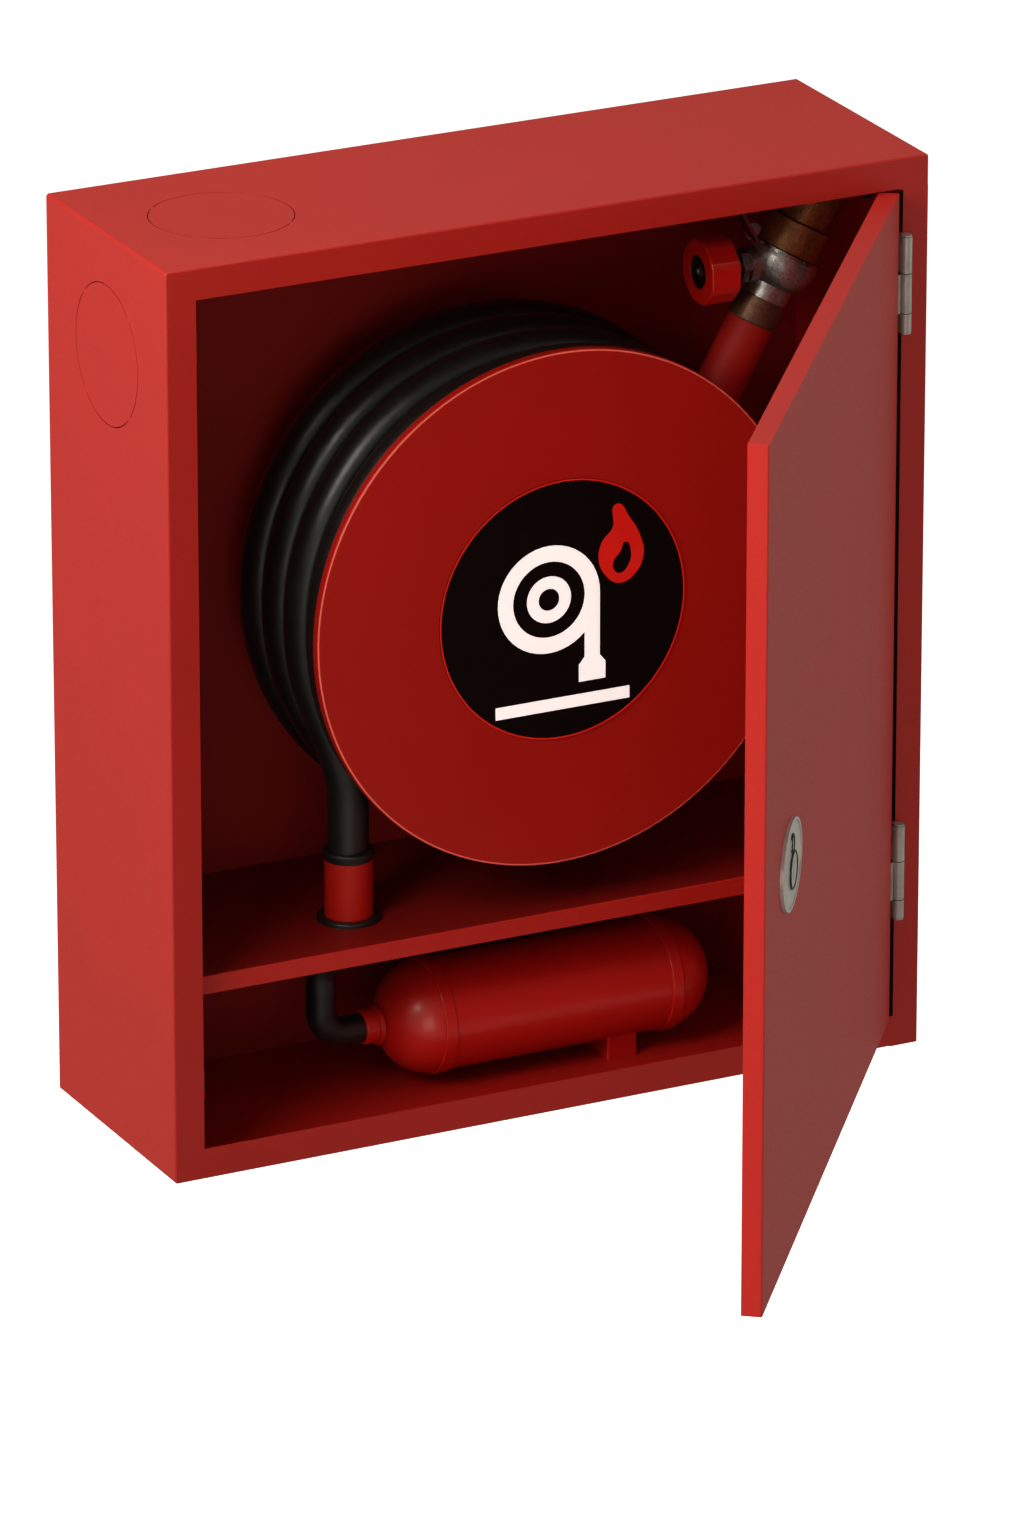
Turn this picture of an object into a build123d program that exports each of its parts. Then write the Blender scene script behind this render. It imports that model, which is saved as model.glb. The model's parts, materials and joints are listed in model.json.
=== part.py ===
import os
from math import atan2, cos, pi, radians, sin, tan

from build123d import *

# Fire hose reel in a steel wall cabinet, with a foam tank under its shelf.
# Millimetres, +Z up, +Y into the wall, +X to the right of someone facing the door.
# The origin is the centre of the back panel's outer face, where it meets the wall.
# "Depth" is measured from the cabinet's front face towards the wall.

# ---------------------------------------------------------------- driving sizes
CAB_W = 650.0            # cabinet width
CAB_H = 740.0            # cabinet height
CAB_D = 215.0            # cabinet depth
SHEET = 1.2              # folded sheet steel
BACK_T = 1.5             # back panel
FRAME_W = 25.0           # face of the front frame
BEND_R = 2.5             # outside radius of the long bends
EDGE_R = 1.6             # outside radius of the front edges

KNOCK_R = 56.0           # pipe knock-outs in the top and the left side
KNOCK_INSET = 97.0       # their centres, from the corner
KNOCK_SLOT = 0.8
KNOCK_NIB = 5.0

SHELF_TOP = -210.0       # height of the shelf
SHELF_LIP = 15.0
SHELF_DEPTH = 19.0       # the shelf's lip stands this far behind the front
SUPPORT_X = 258.0        # upright under the shelf

WALL_X = 285.0           # wall screws, half spacings
WALL_Z = 250.0
WALL_HOLE_R = 4.5

DOOR_OPEN = 52.5         # how far the door stands open, degrees
DOOR_GAP = 1.0
HINGE_GAP = 3.0          # room for the hinge leaves at the door's edge
DOOR_T = 16.0
DOOR_FLANGE = 12.0
HINGE_R = 4.6            # hinge barrel
PIN_R = 2.5
LEAF_T = 1.2
HINGE_LEN = 78.0
HINGE_CENTRES = (269.0, -219.0)
KNUCKLES = (0.385, 0.415, 0.2)   # knuckle lengths from the top: frame, door, frame
KNUCKLE_GAP = 0.8

LOCK_X = -194.0          # lock, as the door stands closed
LOCK_Z = -26.0
PLATE_Z = -22.0
PLATE_W = 84.0
PLATE_H = 70.0
CAM_REACH = 115.0
CAM_W = 16.0
CAM_T = 3.0
PLUG_R = 8.0
PLUG_HEAD_R = 14.0

REEL_X = 18.0            # reel axis
REEL_Z = 40.0
DISC_R = 210.0
DISC_T = 1.5
DISC_DEPTH = 19.0        # face of the front disc
REAR_DISC_R = 200.0
REAR_DISC_DEPTH = 176.0
DRUM_R = 91.3
LABEL_R = 106.0
LABEL_T = 0.8

HOSE_R = 16.5            # 25 mm bore hose, 33 mm outside
PACK_R = 208.0           # outside of the wound hose
PACK_FRONT = 23.5
PACK_REAR = 174.5
TURN_R = PACK_R - HOSE_R
TAIL_DEPTH = 80.0        # the last turn and the hose's straight end
GROOVE_GAP = 0.7

SLEEVE_X = -137.0        # hose end sleeve, on the shelf
SLEEVE_R = 19.0
SLEEVE_TOP = -160.0
TAIL_END = -183.0

TANK_R = 45.0
TANK_Z = -313.5
TANK_DEPTH = 100.0
TANK_LEFT = -62.0        # ends of the straight barrel
TANK_RIGHT = 142.0
TANK_DOME = 41.0
ELBOW_R = 11.75          # moulded foam hose
ELBOW_X = -152.0

SPINDLE_R = 15.0
SPINDLE_GAP = 0.05       # running fit of the hub on its spindle
HUB_R = 24.0
PORT_DEPTH = 112.0       # where water passes from the spindle to the hub
FEED_DEPTH = 196.5       # feed pipe, behind the reel
FEED_R = 11.0

VALVE_X = 251.0          # centre of the stop valve
VALVE_Z = 266.0
VALVE_DEPTH = 100.0
VALVE_TILT = 30.0        # its pipe leans this far from upright
BALL_R = 29.0
SUPPLY_R = 19.0
SUPPLY_END = 135.0
SUPPLY_CLEAR = 5.0       # its closed end is hollowed to clear the wound hose
BRANCH_AT = 97.0
BRANCH_LEAN = (0.418, 0.835, -0.358)
INLET_R = 15.2           # tapped inlet socket
KNOB_R = 26.3
KNOB_LEN = 25.0
KNOB_START = 49.4

os.makedirs("parts", exist_ok=True)


# ---------------------------------------------------------------- helpers
def front(depth):
    """Plane facing the viewer, at a depth behind the cabinet's front face."""
    return Plane.XZ.offset(CAB_D - depth)


def inward(x, z, depth=0.0):
    """Plane through (x, z) whose normal points into the cabinet."""
    return Plane(origin=(x, depth - CAB_D, z), x_dir=(1, 0, 0), z_dir=(0, 1, 0))


def save(piece, name):
    """Label a finished piece and write its file."""
    piece.part.label = name
    export_step(piece.part, f"parts/{name}.step")


def ring(plane, start, end, outer, inner=0.0, mode=Mode.ADD):
    """A turned length between two distances along a plane's normal."""
    with BuildSketch(plane.offset(start)) as face:
        Circle(outer)
        if inner:
            Circle(inner, mode=Mode.SUBTRACT)
    extrude(face.sketch, amount=end - start, mode=mode)


def hexagon(plane, start, end, flats, inner=0.0):
    """A hexagon nut or head, measured across its flats."""
    with BuildSketch(plane.offset(start)) as face:
        RegularPolygon(flats / 2, 6, major_radius=False)
        if inner:
            Circle(inner, mode=Mode.SUBTRACT)
    extrude(face.sketch, amount=end - start)


def block(x, y, z, mode=Mode.ADD):
    """A block given by its low and high corner on each axis."""
    with Locations(((x[0] + x[1]) / 2, (y[0] + y[1]) / 2, (z[0] + z[1]) / 2)):
        Box(x[1] - x[0], y[1] - y[0], z[1] - z[0], mode=mode)


def at_depth(start, end):
    """A pair of depths as positions on Y."""
    return start - CAB_D, end - CAB_D


def knock_out(plane):
    """A slotted circle that a fitter can knock out, held by four nibs."""
    with BuildSketch(plane) as slots:
        Circle(KNOCK_R + KNOCK_SLOT / 2)
        Circle(KNOCK_R - KNOCK_SLOT / 2, mode=Mode.SUBTRACT)
        with PolarLocations(KNOCK_R, 4, start_angle=45):
            Rectangle(4 * KNOCK_SLOT, KNOCK_NIB, mode=Mode.SUBTRACT)
    extrude(slots.sketch, amount=3 * SHEET, mode=Mode.SUBTRACT)


def bent_tube(points, bends, radius, mode=Mode.ADD):
    """A round tube along straight runs joined by arcs."""
    with BuildLine() as route:
        FilletPolyline(*points, radius=bends)
    with BuildSketch(Plane(origin=route.line @ 0, z_dir=route.line % 0)) as section:
        Circle(radius)
    sweep(section.sketch, path=route.line, mode=mode)


# ---------------------------------------------------------------- derived places
SIDE_X = CAB_W / 2
TOP_Z = CAB_H / 2
WALL_IN = SIDE_X - SHEET             # inner face of the side walls
FLOOR_Z = SHEET - TOP_Z              # inner face of the bottom
OPEN_X = SIDE_X - FRAME_W            # edges of the front opening
OPEN_Z = TOP_Z - FRAME_W
BACK_IN = CAB_D - BACK_T             # depth of the back panel's inner face
MID_Y = -CAB_D / 2
STOP_Z = 300.0
STOP_HALF = 12.0
STOP_EDGE = -291.0
STOP_DEPTH = DOOR_T + 2.2
BUMPER_R = 5.0

HINGE_X = OPEN_X + HINGE_R - LEAF_T  # hinge axis, just in front of the frame
HINGE_Y = -CAB_D - 5.0
DOOR_RIGHT = OPEN_X - HINGE_GAP
DOOR_LEFT = DOOR_GAP - OPEN_X
DOOR_Z = OPEN_Z - DOOR_GAP

VALVE_Y = VALVE_DEPTH - CAB_D
LEAN_X = sin(radians(VALVE_TILT))    # the valve's pipe rises along this direction
LEAN_Z = cos(radians(VALVE_TILT))
VALVE_UP = Plane((VALVE_X, VALVE_Y, VALVE_Z), x_dir=(0, 1, 0), z_dir=(LEAN_X, 0, LEAN_Z))
VALVE_OUT = Plane((VALVE_X, VALVE_Y, VALVE_Z), x_dir=(0, 1, 0), z_dir=(-1, 0, 0))
TAIL_TOP = 62.0                      # end of the union tail along the pipe
ELBOW_BEND = 25.0
TURN = radians(90 - VALVE_TILT)
INLET_X = VALVE_X + TAIL_TOP * LEAN_X + ELBOW_BEND * (sin(TURN) * LEAN_X + (1 - cos(TURN)) * LEAN_Z)
INLET_Z = VALVE_Z + TAIL_TOP * LEAN_Z + ELBOW_BEND * (sin(TURN) * LEAN_Z - (1 - cos(TURN)) * LEAN_X)
INLET_HOLE_R = 23.0
INLET_END = SIDE_X + 5.0

TAIL_Y = TAIL_DEPTH - CAB_D
TANK_Y = TANK_DEPTH - CAB_D

# ================================================================ cabinet
with BuildPart() as cabinet_wrap:
    with BuildSketch(front(CAB_D)):
        RectangleRounded(CAB_W, CAB_H, BEND_R)
        RectangleRounded(CAB_W - 2 * SHEET, CAB_H - 2 * SHEET, BEND_R - SHEET, mode=Mode.SUBTRACT)
    extrude(amount=CAB_D)
    with BuildSketch(front(SHEET)):
        RectangleRounded(CAB_W, CAB_H, BEND_R)
        Rectangle(2 * OPEN_X, 2 * OPEN_Z, mode=Mode.SUBTRACT)
    extrude(amount=SHEET)
    front_face = cabinet_wrap.faces().sort_by(Axis.Y)[0]
    fillet(front_face.outer_wire().edges(), EDGE_R)
    # the hinge side of the frame is a stile of its own, under the top member
    block((OPEN_X, SIDE_X + 1), at_depth(-1, SHEET), (-TOP_Z - 1, OPEN_Z), mode=Mode.SUBTRACT)
    knock_out(Plane((KNOCK_INSET - SIDE_X, MID_Y, TOP_Z - 2 * SHEET), z_dir=(0, 0, 1)))
    knock_out(Plane((-SIDE_X - SHEET, MID_Y, TOP_Z - KNOCK_INSET), z_dir=(1, 0, 0)))
    # water inlet, high in the right side
    ring(Plane((WALL_IN - 1, VALVE_Y, INLET_Z), z_dir=(1, 0, 0)), 0, 3 * SHEET, INLET_HOLE_R,
         mode=Mode.SUBTRACT)
    # stop tabs for the closed door's rubber bumpers
    for height in (-STOP_Z, STOP_Z):
        block((-WALL_IN, STOP_EDGE), at_depth(STOP_DEPTH, STOP_DEPTH + SHEET),
              (height - STOP_HALF, height + STOP_HALF))
save(cabinet_wrap, "cabinet_wrap")

with BuildPart() as hinge_stile:
    block((OPEN_X, SIDE_X), at_depth(0, SHEET), (-TOP_Z, OPEN_Z))
    block((OPEN_X, OPEN_X + SHEET), at_depth(SHEET, DOOR_T), (-OPEN_Z, OPEN_Z))
    block((WALL_IN - SHEET, WALL_IN), at_depth(SHEET, DOOR_T), (FLOOR_Z + BEND_R, OPEN_Z))
    outer_edges = hinge_stile.edges().filter_by(Axis.Z).group_by(Axis.Y)[0]
    fillet(outer_edges.sort_by(Axis.X)[-1], SHEET - 0.1)
save(hinge_stile, "hinge_stile")

STUD_R = 4.0
STUD_CIRCLE_R = 52.0
STUD_START = 20.0        # turns the studs clear of the feed pipe, seen from behind
STUD_LEN = 13.0
with BuildPart() as back_panel:
    with BuildSketch(front(CAB_D)):
        RectangleRounded(2 * WALL_IN, 2 * (TOP_Z - SHEET), BEND_R - SHEET)
        with GridLocations(2 * WALL_X, 2 * WALL_Z, 2, 2):
            Circle(WALL_HOLE_R, mode=Mode.SUBTRACT)
    extrude(amount=BACK_T)
    # weld studs for the reel's bracket
    with BuildSketch(front(BACK_IN)):
        with Locations((REEL_X, REEL_Z)):
            with PolarLocations(STUD_CIRCLE_R, 4, start_angle=-STUD_START):
                Circle(STUD_R)
    extrude(amount=STUD_LEN)
save(back_panel, "back_panel")

GROMMET_HOLE_R = 23.0
with BuildPart() as shelf:
    shelf_low = SHELF_TOP - SHELF_LIP
    block((-WALL_IN, WALL_IN), at_depth(SHELF_DEPTH, BACK_IN), (SHELF_TOP - SHEET, SHELF_TOP))
    block((-WALL_IN, WALL_IN), at_depth(SHELF_DEPTH, SHELF_DEPTH + SHEET), (shelf_low, SHELF_TOP))
    for inner in (-WALL_IN, WALL_IN - SHEET):
        block((inner, inner + SHEET), at_depth(SHELF_DEPTH, BACK_IN), (shelf_low, SHELF_TOP))
    lip_edge = shelf.edges().filter_by(Axis.X).group_by(Axis.Y)[0].sort_by(Axis.Z)[-1]
    fillet(lip_edge, EDGE_R)
    ring(Plane((SLEEVE_X, TAIL_Y, SHELF_TOP - 2 * SHEET)), 0, 4 * SHEET, GROMMET_HOLE_R,
         mode=Mode.SUBTRACT)
save(shelf, "shelf")

SUPPORT_FLANGE = 12.0
with BuildPart() as shelf_support:
    support_depth = at_depth(SHELF_DEPTH + SHEET, BACK_IN)
    support_top = SHELF_TOP - SHEET
    block((SUPPORT_X, SUPPORT_X + SHEET), support_depth, (FLOOR_Z, support_top))
    for low in (FLOOR_Z, support_top - SHEET):
        block((SUPPORT_X, SUPPORT_X + SUPPORT_FLANGE), support_depth, (low, low + SHEET))
save(shelf_support, "shelf_support")

STRIKE_EDGE = -301.5
STRIKE_T = 2.0
STRIKE_HALF = 25.0
STRIKE_FOOT = 24.0
with BuildPart() as strike_plate:
    strike_z = (LOCK_Z - STRIKE_HALF, LOCK_Z + STRIKE_HALF)
    strike_front = DOOR_T - 1.2
    strike_back = strike_front + STRIKE_T
    block((-WALL_IN, STRIKE_EDGE), at_depth(strike_front, strike_back), strike_z)
    block((-WALL_IN, STRIKE_T - WALL_IN), at_depth(strike_front, strike_back + STRIKE_FOOT), strike_z)
save(strike_plate, "strike_plate")

with BuildPart() as door_bumpers:
    for height in (-STOP_Z, STOP_Z):
        ring(inward(STOP_EDGE - BUMPER_R, height), DOOR_T + 0.3, STOP_DEPTH, BUMPER_R)
    fillet(door_bumpers.edges().group_by(Axis.Y)[0], 0.8)
save(door_bumpers, "door_bumpers")


# ================================================================ door, drawn closed and then swung
def swung(plane):
    """A plane on the closed door, carried round to where the door stands open."""
    about = Location((HINGE_X, HINGE_Y, 0))
    return Plane(about * Location((0, 0, 0), (0, 0, DOOR_OPEN)) * about.inverse() * plane.location)


def door_block(x, depth, z, mode=Mode.ADD):
    """A block on the door, given by its places when the door is closed."""
    with BuildSketch(swung(inward(0, 0, depth[0]))) as face:
        with Locations(((x[0] + x[1]) / 2, -(z[0] + z[1]) / 2)):
            Rectangle(x[1] - x[0], z[1] - z[0])
    extrude(face.sketch, amount=depth[1] - depth[0], mode=mode)


def knuckle_spans(centre):
    """The low and high end of each hinge knuckle, from the top down."""
    high = centre + HINGE_LEN / 2
    spans = []
    for share in KNUCKLES:
        low = high - share * HINGE_LEN
        spans.append((low + KNUCKLE_GAP / 2, high - KNUCKLE_GAP / 2))
        high = low
    return spans


LEAF_DEPTH = (2.0, 15.0)
HINGE_DEPTH = HINGE_Y + CAB_D
WEB_DEPTH = (HINGE_DEPTH + HINGE_R - LEAF_T, HINGE_DEPTH + HINGE_R)
with BuildPart() as frame_hinge_leaves:
    for centre in HINGE_CENTRES:
        upper, middle, lower = knuckle_spans(centre)
        leaf_x = (OPEN_X - LEAF_T, OPEN_X)
        block(leaf_x, at_depth(*LEAF_DEPTH), (lower[0], upper[1]))
        for low, high in (upper, lower):
            with BuildSketch(Plane.XY.offset(low)):
                with Locations((HINGE_X, HINGE_Y)):
                    Circle(HINGE_R)
                with Locations((OPEN_X - LEAF_T / 2, (HINGE_Y + LEAF_DEPTH[0] - CAB_D) / 2)):
                    Rectangle(LEAF_T, LEAF_DEPTH[0] - HINGE_DEPTH)
                with Locations((HINGE_X, HINGE_Y)):
                    Circle(PIN_R, mode=Mode.SUBTRACT)
            extrude(amount=high - low)
save(frame_hinge_leaves, "frame_hinge_leaves")

with BuildPart() as hinge_pins:
    for centre in HINGE_CENTRES:
        low, high = centre - HINGE_LEN / 2, centre + HINGE_LEN / 2
        ring(Plane((HINGE_X, HINGE_Y, low)), 0, high - low, PIN_R)
        for end in (low - 1.2, high):
            ring(Plane((HINGE_X, HINGE_Y, end)), 0, 1.2, HINGE_R - 0.4)
save(hinge_pins, "hinge_pins")

with BuildPart() as door_hinge_leaves:
    for centre in HINGE_CENTRES:
        upper, middle, lower = knuckle_spans(centre)
        leaf_x = (DOOR_RIGHT, DOOR_RIGHT + LEAF_T)
        door_block(leaf_x, LEAF_DEPTH, (lower[0], upper[1]))
        door_block(leaf_x, (WEB_DEPTH[0], LEAF_DEPTH[0]), middle)
        door_block((DOOR_RIGHT, HINGE_X), WEB_DEPTH, middle)
        barrel = Plane((HINGE_X, HINGE_Y, middle[0]))
        ring(barrel, 0, middle[1] - middle[0], HINGE_R)
        ring(barrel, 0, middle[1] - middle[0], PIN_R + SPINDLE_GAP, mode=Mode.SUBTRACT)
save(door_hinge_leaves, "door_hinge_leaves")

LOCK_BARREL_R = 11.0
with BuildPart() as door_skin:
    door_block((DOOR_LEFT, DOOR_RIGHT), (0, DOOR_T), (-DOOR_Z, DOOR_Z))
    pan_edges = door_skin.edges().filter_by(Axis.Z).sort_by(Axis.Y)
    fillet(pan_edges[0], EDGE_R)
    inside_x = (DOOR_LEFT + SHEET, DOOR_RIGHT - SHEET)
    inside_z = (SHEET - DOOR_Z, DOOR_Z - SHEET)
    door_block(inside_x, (SHEET, DOOR_T - SHEET), inside_z, mode=Mode.SUBTRACT)
    mouth_x = (DOOR_LEFT + DOOR_FLANGE, DOOR_RIGHT - DOOR_FLANGE)
    mouth_z = (DOOR_FLANGE - DOOR_Z, DOOR_Z - DOOR_FLANGE)
    door_block(mouth_x, (DOOR_T - 2 * SHEET, DOOR_T + 1), mouth_z, mode=Mode.SUBTRACT)
    ring(swung(inward(LOCK_X, LOCK_Z, -1)), 0, 3 * SHEET, LOCK_BARREL_R, mode=Mode.SUBTRACT)
save(door_skin, "door_skin")

STIFFENER_HALF = 22.0
STIFFENER_Z = 320.0
STIFFENER_DEEP = 12.0
with BuildPart() as door_stiffener:
    stiff_z = (-STIFFENER_Z, STIFFENER_Z)
    crown = (STIFFENER_DEEP - SHEET, STIFFENER_DEEP)
    door_block((-STIFFENER_HALF, STIFFENER_HALF), crown, stiff_z)
    for inner in (-STIFFENER_HALF, STIFFENER_HALF - SHEET):
        door_block((inner, inner + SHEET), (SHEET, STIFFENER_DEEP), stiff_z)
    door_block((-STIFFENER_HALF - 14, -STIFFENER_HALF + SHEET), (SHEET, 2 * SHEET), stiff_z)
    door_block((STIFFENER_HALF - SHEET, STIFFENER_HALF + 14), (SHEET, 2 * SHEET), stiff_z)
save(door_stiffener, "door_stiffener")

lock_plane = swung(inward(LOCK_X, LOCK_Z))
EYELET_UP = 21.0
PLATE_FACE = 2.0         # how far the plate, its rim and the plug stand out from the door
PLATE_RIM = 2.8
PLUG_FACE = 3.6
with BuildPart() as lock_escutcheon:
    with BuildSketch(swung(inward(LOCK_X, PLATE_Z, -PLATE_FACE))):
        Ellipse(PLATE_W / 2, PLATE_H / 2)
    extrude(amount=PLATE_FACE)
    with BuildSketch(swung(inward(LOCK_X, PLATE_Z, -PLATE_RIM))):
        Ellipse(PLATE_W / 2, PLATE_H / 2)
        Ellipse(PLATE_W / 2 - 2, PLATE_H / 2 - 2, mode=Mode.SUBTRACT)
    extrude(amount=PLATE_RIM - PLATE_FACE)
    # collar round the plug, and the eyelet for a seal above it
    ring(lock_plane, -PLATE_RIM, -PLATE_FACE, PLUG_HEAD_R + 2.4)
    ring(lock_plane, -PLATE_RIM - 1, 1, PLUG_HEAD_R + 0.4, mode=Mode.SUBTRACT)
    eyelet = swung(inward(LOCK_X, LOCK_Z + EYELET_UP))
    ring(eyelet, -PLATE_RIM, -PLATE_FACE, 6.5)
    ring(eyelet, -PLATE_RIM - 1, -1.0, 3.0, mode=Mode.SUBTRACT)
save(lock_escutcheon, "lock_escutcheon")

with BuildPart() as lock_housing:
    ring(lock_plane, 0, DOOR_T, LOCK_BARREL_R, PLUG_R + SPINDLE_GAP)
save(lock_housing, "lock_housing")

with BuildPart() as lock_nut:
    hexagon(lock_plane, SHEET, SHEET + 5, 30, LOCK_BARREL_R)
save(lock_nut, "lock_nut")

CAM_FRONT = DOOR_T + 1.0
with BuildPart() as lock_plug:
    ring(lock_plane, -PLUG_FACE, -0.3, PLUG_HEAD_R)
    fillet(lock_plug.edges(), 0.5)
    with BuildSketch(lock_plane.offset(-PLUG_FACE)):
        Rectangle(3.0, 16.0)
    extrude(amount=PLUG_FACE - 1, mode=Mode.SUBTRACT)
    ring(lock_plane, -0.4, CAM_FRONT, PLUG_R)
    with BuildSketch(lock_plane.offset(CAM_FRONT)):
        Rectangle(8, 8)
    extrude(amount=CAM_T)
    ring(lock_plane, 8, CAM_FRONT + CAM_T, 2.0, mode=Mode.SUBTRACT)
save(lock_plug, "lock_plug")

with BuildPart() as lock_cam:
    with BuildSketch(lock_plane.offset(CAM_FRONT)):
        with Locations((0, (CAM_REACH - CAM_W / 2) / 2)):
            SlotOverall(CAM_REACH + CAM_W / 2, CAM_W, rotation=90)
        Rectangle(8, 8, mode=Mode.SUBTRACT)
    extrude(amount=CAM_T)
save(lock_cam, "lock_cam")

with BuildPart() as cam_screw:
    ring(lock_plane, 8.5, CAM_FRONT + CAM_T, 2.0)
    hexagon(lock_plane, CAM_FRONT + CAM_T, CAM_FRONT + CAM_T + 3, 10)
save(cam_screw, "cam_screw")

# ================================================================ reel
reel_axis = inward(REEL_X, REEL_Z)
RIM_DEEP = 7.0
ROD_CIRCLE_R = 82.0
ROD_R = 3.0
with BuildPart() as front_disc:
    ring(reel_axis, DISC_DEPTH, DISC_DEPTH + DISC_T, DISC_R)
    ring(reel_axis, DISC_DEPTH, DISC_DEPTH + RIM_DEEP, DISC_R, DISC_R - DISC_T)
    fillet(front_disc.edges().group_by(Axis.Y)[0], DISC_T - 0.1)
save(front_disc, "front_disc")

with BuildPart() as rear_disc:
    ring(reel_axis, REAR_DISC_DEPTH, REAR_DISC_DEPTH + DISC_T, REAR_DISC_R, HUB_R)
    with BuildSketch(reel_axis.offset(REAR_DISC_DEPTH)):
        with PolarLocations(ROD_CIRCLE_R, 4, start_angle=-20):
            Circle(ROD_R)
    extrude(amount=DISC_T, mode=Mode.SUBTRACT)
save(rear_disc, "rear_disc")

with BuildPart() as label_plate:
    ring(reel_axis, DISC_DEPTH - LABEL_T, DISC_DEPTH, LABEL_R)
save(label_plate, "label_plate")

OUTLET_R = 13.0
OUTLET_RISE = 70.0
outlet_route = [
    (REEL_X, PORT_DEPTH - CAB_D, REEL_Z + HUB_R - 3),
    (REEL_X, PORT_DEPTH - CAB_D, REEL_Z + OUTLET_RISE),
    (REEL_X + DRUM_R, PORT_DEPTH - CAB_D, REEL_Z + OUTLET_RISE),
]
outlet_leg = Plane(outlet_route[1], z_dir=(1, 0, 0))
with BuildPart() as drum:
    ring(reel_axis, DISC_DEPTH + DISC_T, REAR_DISC_DEPTH, DRUM_R, DRUM_R - DISC_T)
    ring(outlet_leg, 20, DRUM_R, OUTLET_R, mode=Mode.SUBTRACT)
save(drum, "drum")

with BuildPart() as outlet_elbow:
    bent_tube(outlet_route, [26.0], OUTLET_R)
    bent_tube(outlet_route, [26.0], OUTLET_R - 3, mode=Mode.SUBTRACT)
    ring(reel_axis, PORT_DEPTH - 30, PORT_DEPTH + 30, DRUM_R, HUB_R, mode=Mode.INTERSECT)
save(outlet_elbow, "outlet_elbow")

HUB_FRONT = 75.5
FLANGE_R = 42.0
with BuildPart() as hub_housing:
    ring(reel_axis, HUB_FRONT, REAR_DISC_DEPTH + DISC_T, HUB_R)
    ring(reel_axis, REAR_DISC_DEPTH + DISC_T, REAR_DISC_DEPTH + DISC_T + 4, FLANGE_R)
    ring(reel_axis, HUB_FRONT, REAR_DISC_DEPTH + DISC_T + 4, SPINDLE_R + SPINDLE_GAP, mode=Mode.SUBTRACT)
    ring(reel_axis, PORT_DEPTH - 12, PORT_DEPTH + 12, HUB_R - 5, mode=Mode.SUBTRACT)
    ring(Plane(outlet_route[0]), -8, 5, OUTLET_R - 3, mode=Mode.SUBTRACT)
save(hub_housing, "hub_housing")

with BuildPart() as tie_rods:
    with BuildSketch(reel_axis.offset(DISC_DEPTH + DISC_T)):
        with PolarLocations(ROD_CIRCLE_R, 4, start_angle=-20):
            Circle(ROD_R)
    extrude(amount=REAR_DISC_DEPTH + 6 - DISC_DEPTH)
save(tie_rods, "tie_rods")

with BuildPart() as tie_nuts:
    with BuildSketch(reel_axis.offset(REAR_DISC_DEPTH + DISC_T)):
        with PolarLocations(ROD_CIRCLE_R, 4, start_angle=-20):
            RegularPolygon(5, 6, major_radius=False)
            Circle(ROD_R, mode=Mode.SUBTRACT)
    extrude(amount=4)
save(tie_nuts, "tie_nuts")

# The wound hose, with a groove for its last turn, which lies apart as the hose's tail.
with BuildPart() as hose_coil:
    groove_r = HOSE_R + GROOVE_GAP
    ring(reel_axis, PACK_FRONT, PACK_REAR, PACK_R, DRUM_R)
    with BuildSketch(Plane.XY.offset(REEL_Z)):
        with Locations((REEL_X + TURN_R, TAIL_Y)):
            Circle(groove_r)
        with Locations((REEL_X + TURN_R + groove_r, TAIL_Y)):
            Rectangle(2 * groove_r, 2 * groove_r)
    revolve(axis=Axis((REEL_X, 0, REEL_Z), (0, 1, 0)), mode=Mode.SUBTRACT)
save(hose_coil, "hose_coil")

# ================================================================ the hose's tail and its end
TAIL_START = -50.0       # where the last turn begins, round the reel's axis
TAIL_LEAVES = 202.0      # where it leaves the reel
TAIL_BEND = 150.0
leave_turn = TAIL_LEAVES - 180
leave_x = REEL_X - TURN_R * cos(radians(leave_turn))
leave_z = REEL_Z - TURN_R * sin(radians(leave_turn))
to_corner = (SLEEVE_X - leave_x) / sin(radians(leave_turn))
first_run = to_corner - TAIL_BEND * tan(radians(leave_turn) / 2)
TAIL_PLANE = Plane((0, TAIL_Y, 0), x_dir=(1, 0, 0), z_dir=(0, -1, 0))
with BuildPart() as hose_tail:
    with BuildLine(TAIL_PLANE) as tail_route:
        turn = CenterArc((REEL_X, REEL_Z), TURN_R, TAIL_START, TAIL_LEAVES - TAIL_START)
        run = PolarLine(turn @ 1, first_run, TAIL_LEAVES + 90)
        bend = JernArc(run @ 1, run % 1, TAIL_BEND, -leave_turn)
        Line(bend @ 1, (SLEEVE_X, TAIL_END))
    with BuildSketch(Plane(origin=tail_route.line @ 0, z_dir=tail_route.line % 0)):
        Circle(HOSE_R)
    sweep(path=tail_route.line)
save(hose_tail, "hose_tail")
tail_length = sum(edge.length for edge in tail_route.edges())
print("hose tail", round(tail_length), "mm, radii", TURN_R, TAIL_BEND)
print("hose tail volume over section times length",
      round(hose_tail.part.volume / (pi * HOSE_R ** 2 * tail_length), 4))

sleeve_axis = Plane((SLEEVE_X, TAIL_Y, 0))
SLEEVE_LOW = SHELF_TOP - 12
with BuildPart() as hose_sleeve:
    ring(sleeve_axis, SLEEVE_LOW, SLEEVE_TOP, SLEEVE_R)
    ring(sleeve_axis, TAIL_END - 2, SLEEVE_TOP, HOSE_R + 0.1, mode=Mode.SUBTRACT)
    ring(sleeve_axis, SLEEVE_LOW, TAIL_END, ELBOW_R, mode=Mode.SUBTRACT)
save(hose_sleeve, "hose_sleeve")

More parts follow.
